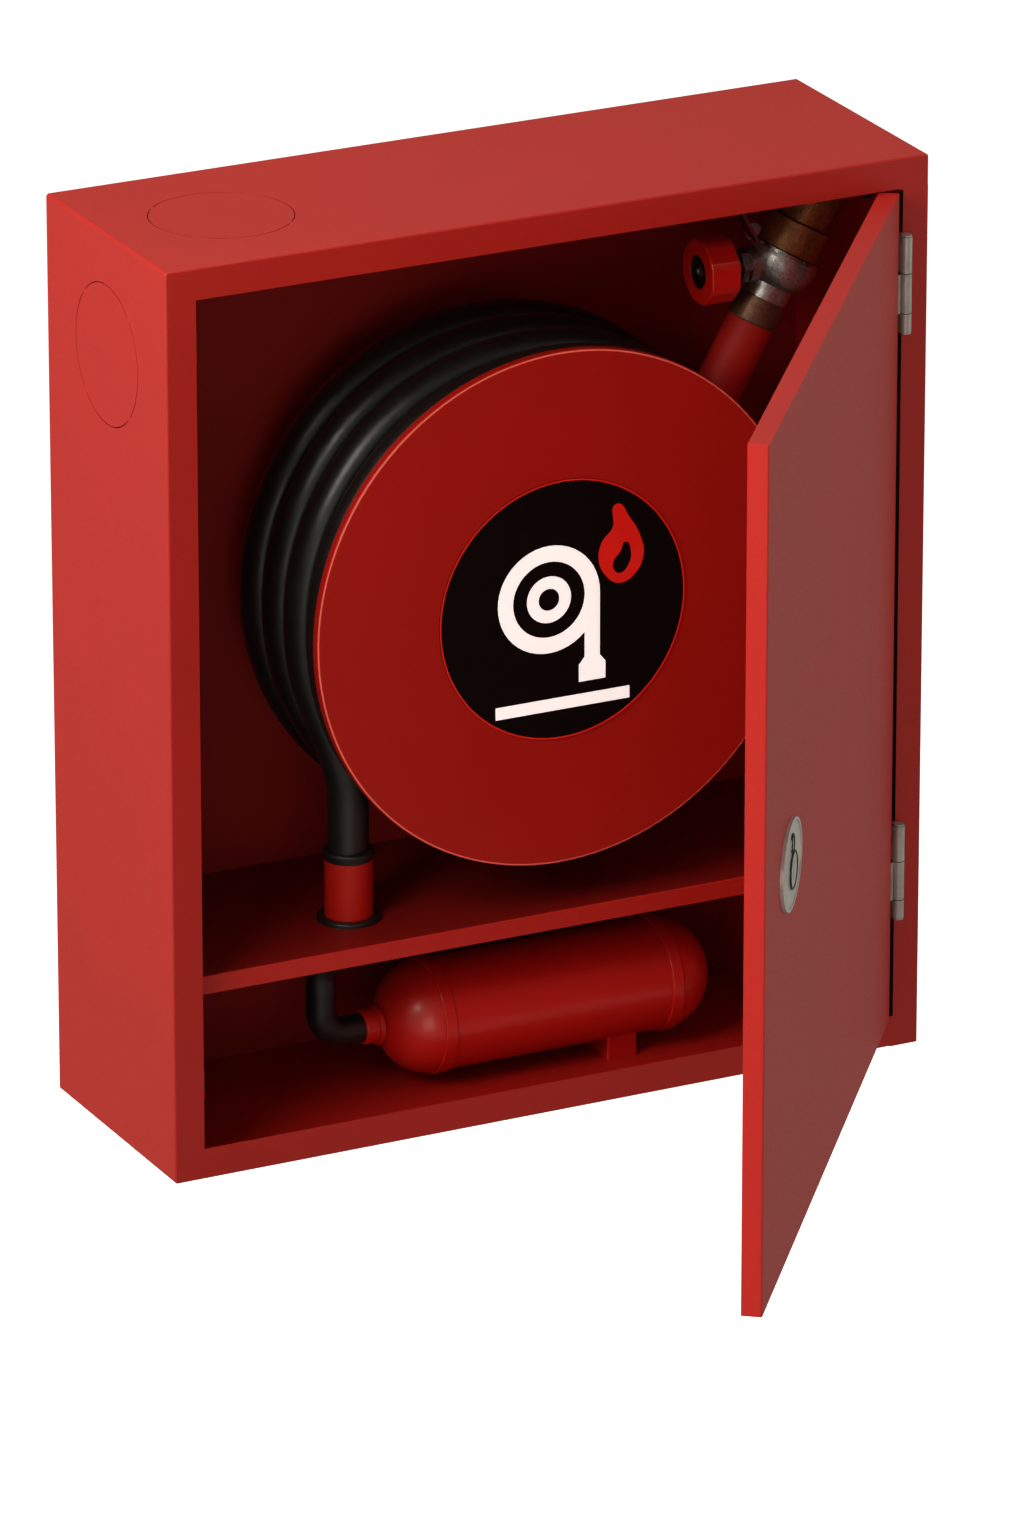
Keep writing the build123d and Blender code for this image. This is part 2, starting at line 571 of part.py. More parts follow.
with BuildPart() as hose_collar:
    with BuildSketch(sleeve_axis.offset(SLEEVE_TOP)):
        Circle(SLEEVE_R)
    with BuildSketch(sleeve_axis.offset(SLEEVE_TOP + 8)):
        Circle(SLEEVE_R + 2)
    loft()
    fillet(hose_collar.edges().sort_by(Axis.Z)[-1], 1.5)
    ring(sleeve_axis, SLEEVE_TOP - 1, SLEEVE_TOP + 9, HOSE_R + 0.1, mode=Mode.SUBTRACT)
save(hose_collar, "hose_collar")

with BuildPart() as shelf_grommet:
    grommet_low = SHELF_TOP - SHEET - 3
    ring(sleeve_axis, SHELF_TOP, SHELF_TOP + 3.5, GROMMET_HOLE_R + 2.5)
    fillet(shelf_grommet.edges().group_by(Axis.Z)[-1], 1.5)
    ring(sleeve_axis, grommet_low, SHELF_TOP - SHEET, GROMMET_HOLE_R + 2.5)
    ring(sleeve_axis, grommet_low, SHELF_TOP, GROMMET_HOLE_R)
    ring(sleeve_axis, grommet_low, SHELF_TOP + 4, SLEEVE_R, mode=Mode.SUBTRACT)
save(shelf_grommet, "shelf_grommet")

# ================================================================ foam hose and tank
NECK_FACE = TANK_LEFT - TANK_DOME - 15
foam_route = [
    (SLEEVE_X, TAIL_Y, TAIL_END - 6),
    (SLEEVE_X, TAIL_Y, SHELF_TOP - 23),
    (ELBOW_X, TANK_Y, SHELF_TOP - 48),
    (ELBOW_X, TANK_Y, TANK_Z),
    (NECK_FACE + 8, TANK_Y, TANK_Z),
]
foam_bends = [20.0, 20.0, 20.0]
with BuildPart() as foam_elbow:
    bent_tube(foam_route, foam_bends, ELBOW_R)
    bent_tube(foam_route, foam_bends, ELBOW_R - 3, mode=Mode.SUBTRACT)
save(foam_elbow, "foam_elbow")
print("foam elbow radii", foam_bends)

tank_axis = Plane((0, TANK_Y, TANK_Z), x_dir=(0, 1, 0), z_dir=(1, 0, 0))
TANK_WALL = 2.0
LAP = 7.0                # the band of each end laps this far over the barrel
BAND_T = 1.8
with BuildPart() as tank_barrel:
    ring(tank_axis, TANK_LEFT, TANK_RIGHT, TANK_R, TANK_R - TANK_WALL)
save(tank_barrel, "tank_barrel")


def tank_end(name, edge, way, bore):
    """A domed tank end with a raised band that laps over the barrel."""
    section = Plane((edge, TANK_Y, TANK_Z), x_dir=(way, 0, 0), z_dir=(0, -way, 0))
    with BuildPart() as end:
        with BuildSketch(section):
            with BuildLine():
                dome = EllipticalCenterArc((0, 0), TANK_DOME, TANK_R, 0, arc_size=86)
                Line(dome @ 1, ((dome @ 1).X, TANK_R + BAND_T))
                Line(((dome @ 1).X, TANK_R + BAND_T), (-LAP, TANK_R + BAND_T))
                Line((-LAP, TANK_R + BAND_T), (-LAP, TANK_R))
                Line((-LAP, TANK_R), (0, TANK_R))
                Line((0, TANK_R), (0, TANK_R - TANK_WALL))
                EllipticalCenterArc((0, 0), TANK_DOME - TANK_WALL, TANK_R - TANK_WALL, 0, arc_size=90)
                Line((TANK_DOME - TANK_WALL, 0), (TANK_DOME, 0))
            make_face()
        revolve(axis=Axis((0, TANK_Y, TANK_Z), (1, 0, 0)))
        fillet(end.edges().filter_by(GeomType.CIRCLE).sort_by(SortBy.RADIUS)[-2:], 0.7)
        if bore:
            ring(Plane(section.origin, z_dir=(way, 0, 0)), 0, TANK_DOME + 1, bore, mode=Mode.SUBTRACT)
    save(end, name)


tank_end("tank_end_left", TANK_LEFT, -1, 9.0)
tank_end("tank_end_right", TANK_RIGHT, 1, 0)

dome_tip = TANK_LEFT - TANK_DOME
with BuildPart() as tank_neck:
    ring(tank_axis, NECK_FACE, dome_tip - 4, 14.0)
    ring(tank_axis, dome_tip - 4, dome_tip, 16.0)
    fillet(tank_neck.edges().group_by(Axis.X)[0], 1.2)
    ring(tank_axis, dome_tip, dome_tip + 6, 9.0)
    ring(tank_axis, NECK_FACE, NECK_FACE + 8, ELBOW_R, mode=Mode.SUBTRACT)
    ring(tank_axis, NECK_FACE, dome_tip + 7, 6.0, mode=Mode.SUBTRACT)
save(tank_neck, "tank_neck")

SADDLE_X = (86.0, 112.0)
SADDLE_DEPTH = (72.0, 132.0)
SADDLE_H = 24.0
with BuildPart() as tank_saddle:
    block(SADDLE_X, at_depth(*SADDLE_DEPTH), (FLOOR_Z, FLOOR_Z + SADDLE_H))
    fillet(tank_saddle.edges().filter_by(Axis.Z), 2.0)
    ring(tank_axis, SADDLE_X[0] - 1, SADDLE_X[1] + 1, TANK_R, mode=Mode.SUBTRACT)
save(tank_saddle, "tank_saddle")

CLIP_X = (-30.0, 0.0)
with BuildPart() as tank_clip:
    block(CLIP_X, at_depth(TANK_DEPTH + 20, BACK_IN), (TANK_Z - 6, TANK_Z - 3))
    block(CLIP_X, at_depth(BACK_IN - 3, BACK_IN), (TANK_Z - 22, TANK_Z - 3))
    ring(tank_axis, *CLIP_X, TANK_R, mode=Mode.SUBTRACT)
save(tank_clip, "tank_clip")

# ================================================================ reel bracket, spindle and feed
FEED_Y = FEED_DEPTH - CAB_D
branch = Plane((VALVE_X - BRANCH_AT * LEAN_X, VALVE_Y, VALVE_Z - BRANCH_AT * LEAN_Z), z_dir=BRANCH_LEAN)
feed_corner = branch.origin + branch.z_dir * ((FEED_Y - VALVE_Y) / branch.z_dir.Y)
FEED_ANGLE = atan2(feed_corner.Z - REEL_Z, feed_corner.X - REEL_X)
feed_axis = Plane((REEL_X, FEED_Y, REEL_Z), x_dir=(0, 1, 0), z_dir=(cos(FEED_ANGLE), 0, sin(FEED_ANGLE)))
PLATE_R = 62.0
PLATE_T = 4.0
PORT_LEN = PLATE_R + 2
PLATE_FRONT = BACK_IN - PLATE_T
BOSS_FRONT = 183.5
SPINDLE_END = 205.5
with BuildPart() as hub_bracket:
    with BuildSketch(inward(REEL_X, REEL_Z, PLATE_FRONT)):
        Circle(PLATE_R)
        with PolarLocations(STUD_CIRCLE_R, 4, start_angle=STUD_START):
            Circle(STUD_R, mode=Mode.SUBTRACT)
    extrude(amount=PLATE_T)
    ring(reel_axis, BOSS_FRONT, PLATE_FRONT, HUB_R)
    ring(feed_axis, 0, PORT_LEN, FEED_R + 2.5)
    ring(feed_axis, 10, PORT_LEN, FEED_R, mode=Mode.SUBTRACT)
    ring(reel_axis, BOSS_FRONT - 1, SPINDLE_END, SPINDLE_R, mode=Mode.SUBTRACT)
save(hub_bracket, "hub_bracket")

with BuildPart() as bracket_nuts:
    with BuildSketch(inward(REEL_X, REEL_Z, PLATE_FRONT - 6)):
        with PolarLocations(STUD_CIRCLE_R, 4, start_angle=STUD_START):
            RegularPolygon(6.5, 6, major_radius=False)
            Circle(STUD_R, mode=Mode.SUBTRACT)
    extrude(amount=6)
save(bracket_nuts, "bracket_nuts")

THREAD_R = 12.0
SHOULDER = 75.0
SEAL_DEPTHS = (94.0, 128.0)
with BuildPart() as hub_spindle:
    ring(reel_axis, 60, SHOULDER, THREAD_R)
    ring(reel_axis, SHOULDER, SPINDLE_END, SPINDLE_R)
    ring(reel_axis, SHOULDER, SPINDLE_END - 4, 9.0, mode=Mode.SUBTRACT)
    ring(feed_axis, 0, SPINDLE_R + 1, 8.0, mode=Mode.SUBTRACT)
    for angle in (0, 90, 180, 270):
        way = (cos(radians(angle)), 0, sin(radians(angle)))
        ring(Plane((REEL_X, PORT_DEPTH - CAB_D, REEL_Z), z_dir=way), 0, SPINDLE_R + 1, 5.0,
             mode=Mode.SUBTRACT)
    for depth in SEAL_DEPTHS:
        with BuildSketch(reel_axis.offset(depth)):
            Circle(SPINDLE_R)
            Circle(SPINDLE_R - 2.8, mode=Mode.SUBTRACT)
        extrude(amount=2.8, mode=Mode.SUBTRACT)
save(hub_spindle, "hub_spindle")

with BuildPart() as hub_seals:
    for depth in SEAL_DEPTHS:
        with BuildSketch(Plane.XY.offset(REEL_Z)):
            with Locations((REEL_X + SPINDLE_R - 1.4, depth + 1.4 - CAB_D)):
                Circle(1.39)
        revolve(axis=Axis((REEL_X, 0, REEL_Z), (0, 1, 0)))
save(hub_seals, "hub_seals")

with BuildPart() as thrust_washer:
    ring(reel_axis, SHOULDER - 3, SHOULDER, 23.0, THREAD_R)
save(thrust_washer, "thrust_washer")

with BuildPart() as hub_nut:
    hexagon(reel_axis, SHOULDER - 13, SHOULDER - 3, 36, THREAD_R)
save(hub_nut, "hub_nut")

feed_route = [
    tuple(branch.origin + branch.z_dir * (SUPPLY_R - 1)),
    tuple(feed_corner),
    tuple(feed_axis.origin + feed_axis.z_dir * 16),
]
FEED_BEND = 28.0
with BuildPart() as feed_pipe:
    bent_tube(feed_route, [FEED_BEND], FEED_R)
    bent_tube(feed_route, [FEED_BEND], FEED_R - 1.5, mode=Mode.SUBTRACT)
save(feed_pipe, "feed_pipe")

with BuildPart() as feed_nut:
    hexagon(feed_axis, PORT_LEN, PORT_LEN + 12, 28, FEED_R)
save(feed_nut, "feed_nut")

# ================================================================ stop valve and water inlet
BAND_START = 34.0
BAND_END = 55.0
PIPE_WALL = 3.0
with BuildPart() as supply_bore:
    ring(VALVE_UP, -SUPPLY_END, -BAND_END, SUPPLY_R - PIPE_WALL)
    ring(reel_axis, PACK_FRONT, PACK_REAR, PACK_R + SUPPLY_CLEAR + PIPE_WALL, mode=Mode.SUBTRACT)

with BuildPart() as supply_pipe:
    ring(VALVE_UP, -SUPPLY_END, -BAND_END, SUPPLY_R)
    ring(reel_axis, PACK_FRONT, PACK_REAR, PACK_R + SUPPLY_CLEAR, mode=Mode.SUBTRACT)
    fillet(supply_pipe.edges().sort_by(Axis.Z)[0], 1.5)
    ring(branch, SUPPLY_R - PIPE_WALL, SUPPLY_R + 9, FEED_R + 3)
    add(supply_bore.part, mode=Mode.SUBTRACT)
    ring(branch, SUPPLY_R - 1, SUPPLY_R + 10, FEED_R, mode=Mode.SUBTRACT)
    ring(branch, 0, SUPPLY_R, FEED_R - 1.5, mode=Mode.SUBTRACT)
save(supply_pipe, "supply_pipe")

with BuildPart() as pipe_coupling:
    ring(VALVE_UP, -BAND_END, -BAND_START, SUPPLY_R + 1.5, SUPPLY_R - PIPE_WALL)
    fillet(pipe_coupling.edges().sort_by(SortBy.LENGTH)[-2:], 1.0)
save(pipe_coupling, "pipe_coupling")

BODY_TOP = 4.0
NIPPLE_TOP = 20.0
CHAMBER_R = 22.0
SEAT_HALF = 1.5
BONNET_SEAT = 33.0
BOSS_R = 14.0
BONNET_R = 10.0
with BuildPart() as valve_body:
    with Locations((VALVE_X, VALVE_Y, VALVE_Z)):
        Sphere(BALL_R)
    ring(VALVE_UP, BODY_TOP, BALL_R + 2, BALL_R + 2, mode=Mode.SUBTRACT)
    ring(VALVE_UP, -BAND_START, 0, SUPPLY_R + 0.25)
    ring(VALVE_UP, 0, NIPPLE_TOP, 18.0)
    ring(VALVE_OUT, 0, BONNET_SEAT, BOSS_R)
    with Locations((VALVE_X, VALVE_Y, VALVE_Z)):
        Sphere(CHAMBER_R - 6, mode=Mode.SUBTRACT)
    ring(VALVE_UP, -BAND_START, -12, 9.0, mode=Mode.SUBTRACT)
    ring(VALVE_UP, 12, NIPPLE_TOP, 9.0, mode=Mode.SUBTRACT)
    ring(VALVE_OUT, 8, BONNET_SEAT, BONNET_R, mode=Mode.SUBTRACT)
    # the seat wall between inlet and outlet
    ring(VALVE_OUT, -SEAT_HALF, SEAT_HALF, CHAMBER_R - 5, 7.0)
save(valve_body, "valve_body")

BONNET_IN = 22.0
with BuildPart() as valve_bonnet:
    ring(VALVE_OUT, BONNET_IN, BONNET_SEAT, BONNET_R)
    hexagon(VALVE_OUT, BONNET_SEAT, BONNET_SEAT + 7, 24)
    ring(VALVE_OUT, BONNET_IN, BONNET_IN + 3, 6.6, mode=Mode.SUBTRACT)
    ring(VALVE_OUT, BONNET_IN, BONNET_SEAT + 7, 5.0 + SPINDLE_GAP, mode=Mode.SUBTRACT)
save(valve_bonnet, "valve_bonnet")

STEM_R = 5.0
with BuildPart() as valve_stem:
    ring(VALVE_OUT, 11.5, BONNET_IN + 0.6, 3.0)
    ring(VALVE_OUT, BONNET_IN + 0.6, BONNET_IN + 2.7, 6.2)
    ring(VALVE_OUT, BONNET_IN + 2.7, KNOB_START + KNOB_LEN - 3, STEM_R)
save(valve_stem, "valve_stem")

with BuildPart() as valve_jumper:
    ring(VALVE_OUT, SEAT_HALF + 2.1, SEAT_HALF + 4.6, 9.0)
    ring(VALVE_OUT, SEAT_HALF + 4.6, 16, 6.0)
    ring(VALVE_OUT, SEAT_HALF + 4, 16, 3.05, mode=Mode.SUBTRACT)
save(valve_jumper, "valve_jumper")

with BuildPart() as jumper_washer:
    ring(VALVE_OUT, SEAT_HALF + 0.1, SEAT_HALF + 2.1, 9.0)
save(jumper_washer, "jumper_washer")

KNOB_DISH = 8.0
KNOB_DISH_R = 13.5
with BuildPart() as valve_knob:
    with BuildSketch(VALVE_OUT.offset(KNOB_START)):
        Circle(KNOB_R)
        RegularPolygon(KNOB_R - 1.0, 8, major_radius=False, rotation=22.5, mode=Mode.INTERSECT)
    extrude(amount=KNOB_LEN)
    fillet(valve_knob.edges().group_by(Axis.X)[0], 1.2)
    fillet(valve_knob.edges().group_by(Axis.X)[-1], 1.2)
    ring(VALVE_OUT, KNOB_START + KNOB_LEN - KNOB_DISH, KNOB_START + KNOB_LEN + 1, KNOB_DISH_R,
         mode=Mode.SUBTRACT)
    ring(VALVE_OUT, KNOB_START - 1, KNOB_START + KNOB_LEN, STEM_R, mode=Mode.SUBTRACT)
save(valve_knob, "valve_knob")

with BuildPart() as knob_nut:
    knob_floor = KNOB_START + KNOB_LEN - KNOB_DISH
    ring(VALVE_OUT, knob_floor, knob_floor + KNOB_DISH - 0.6, KNOB_DISH_R - 0.1, KNOB_DISH_R - 1.3)
    ring(VALVE_OUT, knob_floor, knob_floor + 1.5, KNOB_DISH_R - 0.1, STEM_R)
    hexagon(VALVE_OUT, knob_floor + 1.5, knob_floor + 6, 14, STEM_R)
save(knob_nut, "knob_nut")

HANGER_T = 2.5
HANGER_BAR = 14.0
hanger_mid = BODY_TOP + HANGER_T / 2
hanger_foot = (VALVE_X + hanger_mid * LEAN_X - 24 * LEAN_Z, VALVE_Z + hanger_mid * LEAN_Z + 24 * LEAN_X)
hanger_edge = (VALVE_X + hanger_mid * LEAN_X - 33 * LEAN_Z, VALVE_Z + hanger_mid * LEAN_Z + 33 * LEAN_X)
hanger_top = TOP_Z - SHEET - HANGER_T / 2
with BuildPart() as valve_hanger:
    ring(VALVE_UP, BODY_TOP, BODY_TOP + HANGER_T, BALL_R + 0.6, 18.0)
    ring(VALVE_OUT, 0, BONNET_SEAT, BOSS_R + 0.3, mode=Mode.SUBTRACT)
    with BuildSketch(Plane.XZ.offset(-VALVE_Y - HANGER_BAR / 2)):
        with BuildLine() as arm:
            FilletPolyline(hanger_foot, hanger_edge, (VALVE_X - 51, VALVE_Z + 68),
                           (VALVE_X - 51, hanger_top), (VALVE_X - 78, hanger_top), radius=4)
        trace(line_width=HANGER_T)
    extrude(amount=HANGER_BAR)
save(valve_hanger, "valve_hanger")

NUT_BASE = BODY_TOP + HANGER_T
NUT_TOP = 32.0
TAIL_TUBE_R = 21.5
with BuildPart() as union_nut:
    ring(VALVE_UP, NUT_BASE, NUT_TOP, 25.0)
    fillet(union_nut.edges(), 1.2)
    ring(VALVE_UP, NUT_BASE, NIPPLE_TOP, 18.0, mode=Mode.SUBTRACT)
    ring(VALVE_UP, NIPPLE_TOP, NUT_TOP, 16.5, mode=Mode.SUBTRACT)
save(union_nut, "union_nut")

with BuildPart() as union_tail:
    ring(VALVE_UP, NIPPLE_TOP, NUT_TOP, 16.5)
    ring(VALVE_UP, NUT_TOP, TAIL_TOP, TAIL_TUBE_R)
    fillet(union_tail.edges().filter_by(GeomType.CIRCLE).sort_by(SortBy.RADIUS)[-2:], 1.0)
    ring(VALVE_UP, NIPPLE_TOP, TAIL_TOP, 13.0, mode=Mode.SUBTRACT)
save(union_tail, "union_tail")

elbow_start = VALVE_UP.origin + VALVE_UP.z_dir * TAIL_TOP
inlet_axis = Plane((INLET_X, VALVE_Y, INLET_Z), z_dir=(1, 0, 0))
with BuildPart() as inlet_elbow:
    with BuildLine(TAIL_PLANE.offset(TAIL_Y - VALVE_Y)) as elbow_arc:
        JernArc((elbow_start.X, elbow_start.Z), (LEAN_X, LEAN_Z), ELBOW_BEND, VALVE_TILT - 90)
    with BuildSketch(Plane(origin=elbow_arc.line @ 0, z_dir=elbow_arc.line % 0)):
        Circle(20.0)
        Circle(13.0, mode=Mode.SUBTRACT)
    sweep(path=elbow_arc.line)
    socket_len = INLET_END - INLET_X
    ring(inlet_axis, 0, socket_len, 20.5, 13.0)
    ring(inlet_axis, 4, socket_len, INLET_R, mode=Mode.SUBTRACT)
save(inlet_elbow, "inlet_elbow")

with BuildPart() as inlet_grommet:
    wall_axis = Plane((SIDE_X, VALVE_Y, INLET_Z), z_dir=(1, 0, 0))
    ring(wall_axis, 0, 2.5, INLET_HOLE_R + 3)
    ring(wall_axis, -SHEET, 0, INLET_HOLE_R)
    ring(wall_axis, -SHEET - 2.5, -SHEET, INLET_HOLE_R + 3)
    ring(wall_axis, -5, 4, 20.5, mode=Mode.SUBTRACT)
save(inlet_grommet, "inlet_grommet")
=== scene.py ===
"""The looks of a fire hose reel in its wall cabinet: hose, finishes, small edges and the studio."""

import json
import math

import bmesh
import bpy
from mathutils import Matrix, Vector


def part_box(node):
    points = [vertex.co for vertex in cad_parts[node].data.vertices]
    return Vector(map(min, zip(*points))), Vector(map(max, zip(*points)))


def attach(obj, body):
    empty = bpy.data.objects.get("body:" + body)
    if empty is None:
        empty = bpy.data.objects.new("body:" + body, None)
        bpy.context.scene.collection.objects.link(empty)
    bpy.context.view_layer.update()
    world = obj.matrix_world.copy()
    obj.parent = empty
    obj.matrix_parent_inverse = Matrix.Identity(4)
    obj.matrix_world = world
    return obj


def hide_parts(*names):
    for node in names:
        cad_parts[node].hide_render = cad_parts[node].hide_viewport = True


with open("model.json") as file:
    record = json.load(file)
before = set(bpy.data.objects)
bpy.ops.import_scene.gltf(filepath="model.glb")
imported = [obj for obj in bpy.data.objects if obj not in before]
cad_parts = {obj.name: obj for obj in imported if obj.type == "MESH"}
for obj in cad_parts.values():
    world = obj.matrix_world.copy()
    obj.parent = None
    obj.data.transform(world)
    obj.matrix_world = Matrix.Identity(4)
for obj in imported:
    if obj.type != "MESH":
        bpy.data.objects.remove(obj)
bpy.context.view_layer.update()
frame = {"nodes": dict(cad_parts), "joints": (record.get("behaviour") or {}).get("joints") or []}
nodes = frame["nodes"]
scene = bpy.context.scene
MM = 0.001


def joint_named(name):
    """One of the frame's joints."""
    return next(joint for joint in frame["joints"] if joint["name"] == name)


def new_object(name, data):
    """An object in the scene, from a mesh, curve, lamp or camera."""
    made = bpy.data.objects.new(name, data)
    scene.collection.objects.link(made)
    return made


def mesh_from(name, drawn):
    """A mesh from a bmesh, which isn't needed after that."""
    data = bpy.data.meshes.new(name)
    drawn.to_mesh(data)
    drawn.free()
    return data


# ---------------------------------------------------------------- camera
CAM_AZIMUTH = math.radians(-26.62)
CAM_ELEVATION = math.radians(20.964)
CAM_DISTANCE = 8.989
CAM_TARGET = Vector((0.0165, -0.1124, -0.1197))
CAM_LENS = 269.1         # in mm, for a sensor that is this wide
CAM_SENSOR = 36.0
CAM_CLIP = 100.0
back = Vector((
    math.sin(CAM_AZIMUTH) * math.cos(CAM_ELEVATION),
    -math.cos(CAM_AZIMUTH) * math.cos(CAM_ELEVATION),
    math.sin(CAM_ELEVATION),
))
camera = new_object("camera", bpy.data.cameras.new("camera"))
camera.data.lens = CAM_LENS
camera.data.sensor_width = CAM_SENSOR
camera.data.clip_end = CAM_CLIP
camera.location = CAM_TARGET + back * CAM_DISTANCE
camera.rotation_mode = "QUATERNION"
camera.rotation_quaternion = (-back).to_track_quat("-Z", "Y")
scene.camera = camera
scene.view_settings.view_transform = "Standard"


# ---------------------------------------------------------------- hose: coil and tail
def hose_curve(name, points, radius, steps):
    """A hose along one smooth spline, with the given control points."""
    curve = bpy.data.curves.new(name, "CURVE")
    curve.dimensions = "3D"
    curve.bevel_depth = 1.0     # times each point's radius
    curve.bevel_resolution = 5
    curve.resolution_u = steps
    curve.use_fill_caps = True
    spline = curve.splines.new("NURBS")
    spline.points.add(len(points) - 1)
    for point, place in zip(spline.points, points):
        point.co = (*place, 1.0)
        point.radius = radius
    spline.order_u = 3
    spline.use_endpoint_u = True
    spline.resolution_u = steps
    return new_object(name, curve)


HOSE_R = 16.5 * MM
CAB_D = 215.0 * MM
REEL_X, _, REEL_Z = joint_named("reel_spin")["pos_m"]
TURN_POINTS = 24
TURN_START = -50.0       # each turn of the coil starts at this angle, in degrees
EARLY, MIDDLE, LATE = range(3)   # when a turn moves on to the next
# (radius, depth behind the cabinet's front, when it moves on) of each turn, in mm
COIL_TURNS = [
    (107.8, 60.0, LATE),
    (107.8, 99.5, LATE),
    (107.8, 138.5, LATE),
    (136.2, 158.0, LATE),
    (136.2, 119.0, LATE),
    (136.2, 79.5, LATE),
    (136.2, 40.0, LATE),
    (191.5, 40.0, MIDDLE),
    (165.0, 60.0, MIDDLE),
    (165.0, 99.5, MIDDLE),
    (165.0, 138.5, MIDDLE),
    (191.5, 158.0, EARLY),
    (191.5, 119.0, EARLY),
    (166.0, 99.5, LATE),
]
MOVE_FROM = 230.0        # the crossings from turn to turn begin at this angle or later
MOVE_ANGLE = 80.0 / 3    # each of them takes this many degrees


def on_reel(radius, angle, depth):
    """A point round the reel's axis, from a radius and a depth in metres and an angle in degrees."""
    turned = math.radians(angle)
    return (REEL_X + radius * math.cos(turned), depth - CAB_D, REEL_Z + radius * math.sin(turned))


def smooth_share(value):
    """0 below 0, 1 above 1, and a smooth rise between them."""
    held = min(1.0, max(0.0, value))
    return held * held * (3 - 2 * held)


TURN_STEP = 360.0 / TURN_POINTS
TURN_OUTSIDE = 1 / math.cos(math.radians(TURN_STEP / 2))   # control points stand outside the spline
coil_points = []
for (radius, depth, moves), (next_radius, next_depth, _) in zip(COIL_TURNS, COIL_TURNS[1:]):
    for count in range(TURN_POINTS):
        angle = TURN_START + count * TURN_STEP
        share = smooth_share((angle - MOVE_FROM - moves * MOVE_ANGLE) / MOVE_ANGLE)
        radius_here = radius + (next_radius - radius) * share
        depth_here = depth + (next_depth - depth) * share
        coil_points.append(on_reel(radius_here * MM * TURN_OUTSIDE, angle, depth_here * MM))
hose_on_reel = hose_curve("hose_on_reel", coil_points, HOSE_R, steps=3)
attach(hose_on_reel, "reel")
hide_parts("hose_coil")

TAIL_DEPTH = 80.0 * MM
TAIL_TURN_R = 191.5 * MM
TAIL_POINTS = 16         # on the coil's last turn
TAIL_STEP = 16.0         # between one of them and the next, in degrees
TAIL_OUTSIDE = 1 / math.cos(math.radians(TAIL_STEP / 2))
BURIED_R = 172.0 * MM    # its start, down among the other turns
SLEEVE_X = -137.0 * MM
# its points beyond that turn, where it bends down into its sleeve: right of SLEEVE_X and z, in mm
TAIL_HANGS = [(-25.0, -26.0), (0.0, -90.0), (0.0, -130.0), (0.0, -183.0)]
tail_points = [on_reel(BURIED_R, TURN_START - TAIL_STEP, TAIL_DEPTH)]
for count in range(TAIL_POINTS):
    tail_points.append(on_reel(TAIL_TURN_R * TAIL_OUTSIDE, TURN_START + count * TAIL_STEP, TAIL_DEPTH))
for right, up in TAIL_HANGS:
    tail_points.append((SLEEVE_X + right * MM, TAIL_DEPTH - CAB_D, up * MM))
hose_end = hose_curve("hose_end", tail_points, HOSE_R, steps=10)
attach(hose_end, "cabinet")
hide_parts("hose_tail")


# ---------------------------------------------------------------- materials
MOST_NOISE = (0.3, 0.7)  # most of a noise lies between these
FINE_BUMP = 0.1 * MM     # heights of bumps
COARSE_BUMP = 0.35 * MM
LUMP_BUMP = 0.9 * MM


